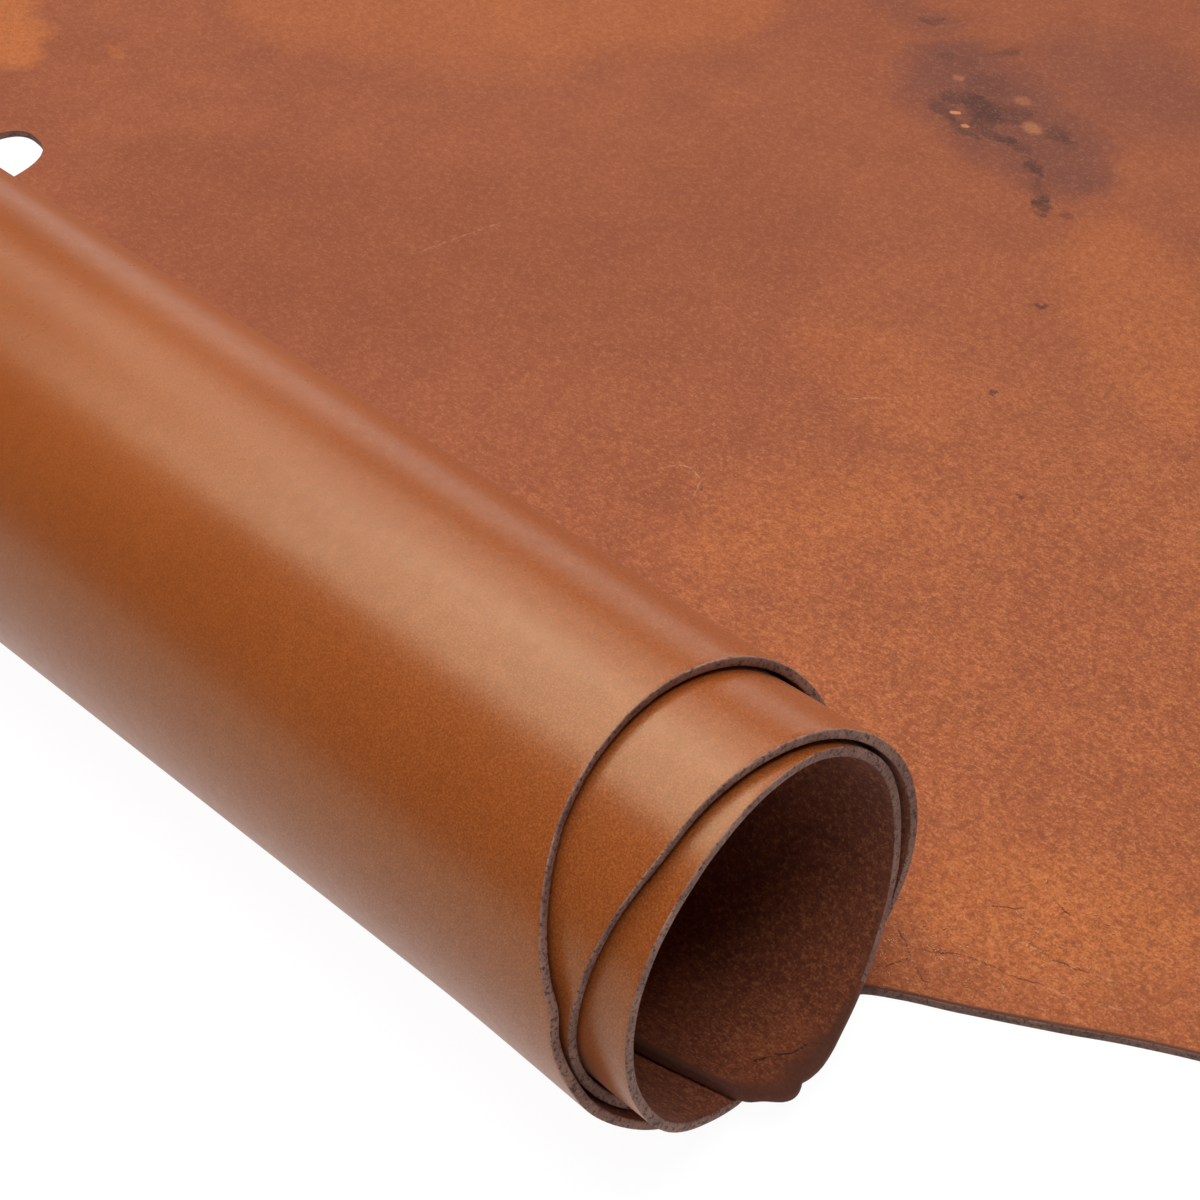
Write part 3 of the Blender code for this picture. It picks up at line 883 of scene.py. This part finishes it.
def flesh_finish(name, stretch, tones=OPEN_FLESH, scratches=()):
    """Napped flesh side with clouds of colour, and the marks of one stretch of it."""
    finish = Finish(name, 0.92)
    finish.shader.inputs["Specular IOR Level"].default_value = 0.25
    finish.shader.inputs["Sheen Weight"].default_value = 0.06
    finish.shader.inputs["Sheen Roughness"].default_value = 0.6
    place = finish.place
    wisps = finish.noise(place, FLESH_WISPS, 5.0, 0.6)
    colour = clouded(finish, tones, wisps, patched=stretch != FLESH_ROLL)
    if stretch == FLESH_FLAT:
        colour = stained(finish, colour, wisps)

    ragged_place = finish.shaken(MARK_SHAKE)
    clumps = finish.noise(place, FLESH_CLUMPS, 4.0, 0.72)
    coarse = finish.coarse(tones.nap, NAP_FAR * tones.nap)
    uneven = finish.ramp(clumps, 0.36, 0.53, finish.math("MULTIPLY", coarse, 0.56), 0.0)
    colour = finish.over(colour, tones.deep, uneven)
    colour = finish.over(colour, FLESH_PALE, finish.ramp(clumps, 0.5, 0.68, 0.0, 0.12))
    if stretch == FLESH_ROLL:
        colour = tip_shaded_and_highlit(finish, colour, clumps, ragged_place)
    if stretch == FLESH_FLAT:
        colour = finish.over(colour, FLESH_PALE, marked(finish, ragged_place, PALE_SPOTS), 0.95)
    if stretch == FLESH_BELLY:
        colour = crease_shaded(finish, colour, clumps, ragged_place)
    if scratches:
        scratch = marked(finish, ragged_place, scratches)
        colour = finish.over(colour, PALE_COLOUR, scratch, finish.ramp(clumps, 0.35, 0.6))

    grains = finish.noise(place, FLESH_GRAINS, 2.0, 0.6)
    fibres = finish.noise(finish.stretched(place, 0.6, 0.55), FLESH_FIBRES, 2.0, 0.6)
    nap = finish.math("ADD", grains, fibres)
    dark = finish.ramp(nap, 0.74, 1.06, finish.math("MULTIPLY", coarse, 0.66), 0.0)
    colour = finish.over(colour, tones.deep, dark)
    pale = finish.ramp(nap, 1.0, 1.3, 0.0, finish.math("MULTIPLY", coarse, 0.5))
    colour = finish.over(colour, FLESH_PALE, pale)
    # the rim value also holds the painted shade near the roll's inner tip
    rim = finish.node("ShaderNodeAttribute", {}, "Fac", attribute_name=RIM_AND_TIP_SHADE)
    ragged = finish.math("MULTIPLY", finish.math("ADD", clumps, nap), RIM_RAGGEDNESS)
    ragged = finish.math("ADD", rim, ragged)
    colour = finish.over(colour, tones.rim, finish.ramp(ragged, 0.9, 1.55, 0.0, 0.88))
    finish.feed(finish.shader.inputs["Base Color"], colour)
    height = finish.math("ADD", nap, clumps)
    finish.feed(finish.shader.inputs["Normal"], finish.bump(height, FLESH_RELIEF, 0.6))
    return finish.material


def edge_finish():
    """The cut edge: grey-brown, matt and speckled with fibres, with painted shade where it lies low."""
    finish = Finish("cut edge", 0.8)
    place = finish.place
    tones = finish.noise(place, EDGE_TONES, 3.0)
    specks = finish.noise(place, EDGE_SPECKS, 3.0, 0.7)
    pits = finish.noise(place, EDGE_PITS, 3.0, 0.7)
    colour = finish.mix(finish.ramp(tones, 0.35, 0.65, 0.0, 0.6), tint(*EDGE_MID), tint(*EDGE_LIGHT))
    colour = finish.over(colour, EDGE_LIGHT, finish.ramp(specks, 0.5, 0.68, 0.0, 0.65))
    colour = finish.over(colour, EDGE_DEEP, finish.ramp(pits, 0.5, 0.63, 0.0, 0.85))
    # painted shade: the cut edge darkens near the floor, where the flat part lies in contact shadow
    height = finish.node("ShaderNodeSeparateXYZ", {"Vector": place}, "Z")
    low_shade = finish.ramp(height, THICKNESS * MM, 2 * THICKNESS * MM, 0.5, 0.0)
    colour = finish.over(colour, EDGE_LOW_SHADE, low_shade)
    finish.feed(finish.shader.inputs["Base Color"], colour)
    relief = finish.math("SUBTRACT", finish.math("MULTIPLY", specks, 0.5), pits)
    finish.feed(finish.shader.inputs["Normal"], finish.bump(relief, EDGE_RELIEF, 0.7))
    return finish.material


def fibre_finish():
    """A loose fibre's pale colour, darker here and there."""
    finish = Finish("loose fibre", 0.6)
    tone = finish.noise(finish.place, FIBRE_TONES, 1.0)
    colour = finish.mix(tone, tint(*FIBRE_COLOUR), tint(*FLESH_LIGHT))
    finish.feed(finish.shader.inputs["Base Color"], colour)
    return finish.material


# The stage

FLOOR_HALF = 30.0           # metres
FLOOR_DROP = 0.0002         # metres below the leather, so that the two don't touch
FLOOR_GLOW = 0.96           # to the eye the floor is plain white, with the faintest of shadows
FLOOR_SHADE = (0.1, 0.1, 0.1, 1.0)
FLOOR_GLOSS = 0.61          # how bright it shows in the leather's gloss
FLOOR_BOUNCE = 0.46         # the soft light that it throws back on to the leather
FLOOR_WHITE = (0.5, 0.5, 0.5, 1.0)
WORLD_LIGHT = 0.03

# Each light's direction as a compass direction and a height, its sides as seen from the roll, in degrees,
# and how far away it is, in metres
SoftLight = namedtuple("SoftLight", "name azimuth height width depth distance radiance")
SOFT_LIGHTS = (
    SoftLight("key", 20, 67, 43, 36, 2.5, 4.45),
    SoftLight("side", 48, 42, 34, 26, 5.0, 2.1),
    SoftLight("horizon", 64, 8, 40, 14, 5.0, 1.1),
    SoftLight("overhead", 190, 80, 60, 24, 1.3, 3.0),
)
LIT_PLACE = (0, 120, 60)    # the roll's axis near its mouth, which every light faces


def make_stage():
    """A wide white floor, which looks brighter to the eye than it does in the leather's gloss."""
    corners = [(-1, -1), (1, -1), (1, 1), (-1, 1)]
    mesh = bpy.data.meshes.new("floor")
    points = [(x * FLOOR_HALF, y * FLOOR_HALF, -FLOOR_DROP) for x, y in corners]
    mesh.from_pydata(points, [], [(0, 1, 2, 3)])
    finish = Finish("pale floor", 0.9)
    seen = finish.node("ShaderNodeLightPath", {}, "Is Camera Ray")
    mirrored = finish.node("ShaderNodeLightPath", {}, "Is Glossy Ray")
    finish.feed(finish.shader.inputs["Base Color"], finish.mix(seen, FLOOR_WHITE, FLOOR_SHADE))
    glow = finish.ramp(mirrored, 0.0, 1.0, FLOOR_BOUNCE, FLOOR_GLOSS)
    glow = finish.math("MAXIMUM", glow, finish.math("MULTIPLY", seen, FLOOR_GLOW))
    finish.feed(finish.shader.inputs["Emission Strength"], glow)
    finish.shader.inputs["Emission Color"].default_value = (1, 1, 1, 1)
    finish.shader.inputs["Specular IOR Level"].default_value = 0.0
    mesh.materials.append(finish.material)
    floor = bpy.data.objects.new("floor", mesh)
    bpy.context.scene.collection.objects.link(floor)


def make_light(row, target):
    """A soft panel that faces a target from its own direction."""
    azimuth, height = math.radians(row.azimuth), math.radians(row.height)
    away = Vector((
        math.sin(azimuth) * math.cos(height), math.cos(azimuth) * math.cos(height), math.sin(height),
    ))
    light = bpy.data.lights.new(row.name, "AREA")
    light.shape = "RECTANGLE"
    light.size = 2 * row.distance * math.tan(math.radians(row.width / 2))
    light.size_y = 2 * row.distance * math.tan(math.radians(row.depth / 2))
    light.energy = row.radiance * math.pi * light.size * light.size_y
    lamp = bpy.data.objects.new(row.name, light)
    lamp.location = target + away * row.distance
    lamp.rotation_euler = (-away).to_track_quat("-Z", "Y").to_euler()
    bpy.context.scene.collection.objects.link(lamp)


def make_lights():
    for row in SOFT_LIGHTS:
        make_light(row, in_frame(*LIT_PLACE))
    world = bpy.data.worlds.new("studio")
    world.use_nodes = True
    background = world.node_tree.nodes["Background"]
    background.inputs["Color"].default_value = (1.0, 1.0, 1.0, 1.0)
    background.inputs["Strength"].default_value = WORLD_LIGHT
    bpy.context.scene.world = world
    bpy.context.scene.view_settings.view_transform = "Standard"


# Loose fibres

FIBRE_SEED = 11
FIBRE_SEGMENTS = 5
FIBRE_SIDES = 3
FIBRE_MARGIN = 2.5          # how far in from the near edge they stay
FIBRE_FIRST_X = 30.0        # nearer the roll they would be under it
FIBRE_CURL = 0.35           # how much the turns between steps differ from fibre to fibre
FIBRE_LIFT = 0.14           # height of a fibre's ends above the flesh side
FIBRE_ARCH = 0.1            # and how much higher its middle is
FIBRE_TIP = 0.35            # of its full radius, at its ends
FIBRE_UP = Vector((0.1, 0.2, 1.0))      # a direction that no fibre runs in

# Kinds of fibre: how many, the range of a step along one in millimetres and of its radius, and how far
# from the creases they spread
FibreKind = namedtuple("FibreKind", "count shortest longest thinnest thickest spread")
FIBRE_KINDS = (
    FibreKind(260, 0.1, 0.26, 0.09, 0.19, 6.5),
    FibreKind(110, 0.3, 0.62, 0.04, 0.075, 5.5),
)


def fibre_mesh(strands):
    """One mesh of thin tubes, each through its own points with its own radius."""
    points = []
    faces = []
    for path, radius in strands:
        base = len(points)
        for number, place in enumerate(path):
            ahead = path[min(number + 1, len(path) - 1)] - path[max(number - 1, 0)]
            side = ahead.cross(FIBRE_UP).normalized()
            other = side.cross(ahead).normalized()
            fullness = math.sin(math.pi * (number + 0.5) / len(path))
            taper = radius * (FIBRE_TIP + (1 - FIBRE_TIP) * fullness)
            for corner in range(FIBRE_SIDES):
                angle = math.tau * corner / FIBRE_SIDES
                points.append(place + (side * math.cos(angle) + other * math.sin(angle)) * taper)
        for number in range(len(path) - 1):
            for corner in range(FIBRE_SIDES):
                following = (corner + 1) % FIBRE_SIDES
                low, high = base + number * FIBRE_SIDES, base + (number + 1) * FIBRE_SIDES
                faces.append((low + corner, low + following, high + following, high + corner))
        faces.append(tuple(base + corner for corner in reversed(range(FIBRE_SIDES))))
        last = base + (len(path) - 1) * FIBRE_SIDES
        faces.append(tuple(last + corner for corner in range(FIBRE_SIDES)))
    mesh = bpy.data.meshes.new("loose_fibres")
    mesh.from_pydata(points, [], faces)
    mesh.shade_smooth()
    return mesh


def build_fibres(finish):
    """Short pale fibres that lie scattered on the flesh side, most of them along the creases."""
    chance = random.Random(FIBRE_SEED)
    strands = []
    for kind in FIBRE_KINDS:
        for _ in range(kind.count):
            crease = chance.choice(CREASES)
            share = chance.random()
            x, reach = on_flesh(
                crease.across + (crease.to_across - crease.across) * share,
                crease.down + (crease.to_down - crease.down) * share,
            )
            x += chance.gauss(0, kind.spread)
            reach += chance.gauss(0, kind.spread)
            if reach < smooth_curve(FLAT_EDGE, x) + FIBRE_MARGIN or x < FIBRE_FIRST_X:
                continue
            heading = chance.uniform(0, math.tau)
            curl = chance.gauss(0, FIBRE_CURL)
            step = chance.uniform(kind.shortest, kind.longest)
            path = []
            for number in range(FIBRE_SEGMENTS):
                lift = FIBRE_LIFT + FIBRE_ARCH * math.sin(math.pi * number / (FIBRE_SEGMENTS - 1))
                path.append(in_frame(x, reach, THICKNESS + lift))
                x += math.cos(heading) * step
                reach += math.sin(heading) * step
                heading += curl
            strands.append((path, chance.uniform(kind.thinnest, kind.thickest) * MM))
    fibres = bpy.data.objects.new("loose_fibres", fibre_mesh(strands))
    fibres.data.materials.append(finish)
    bpy.context.scene.collection.objects.link(fibres)
    return fibres


make_camera()
make_stage()
make_lights()
sheet = build_sheet((
    grain_finish(),
    edge_finish(),
    flesh_finish("shaded flesh side in the roll", FLESH_ROLL, tones=ROLLED_SHADED_FLESH),
    flesh_finish("flesh side", FLESH_FLAT, scratches=FLAT_SCRATCHES),
    flesh_finish("flesh side by the belly edge", FLESH_BELLY, scratches=BELLY_SCRATCHES),
))
cut_hole(sheet)
fibres = build_fibres(fibre_finish())
for piece in (sheet, fibres):
    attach(piece, "root")
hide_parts("leather_side")
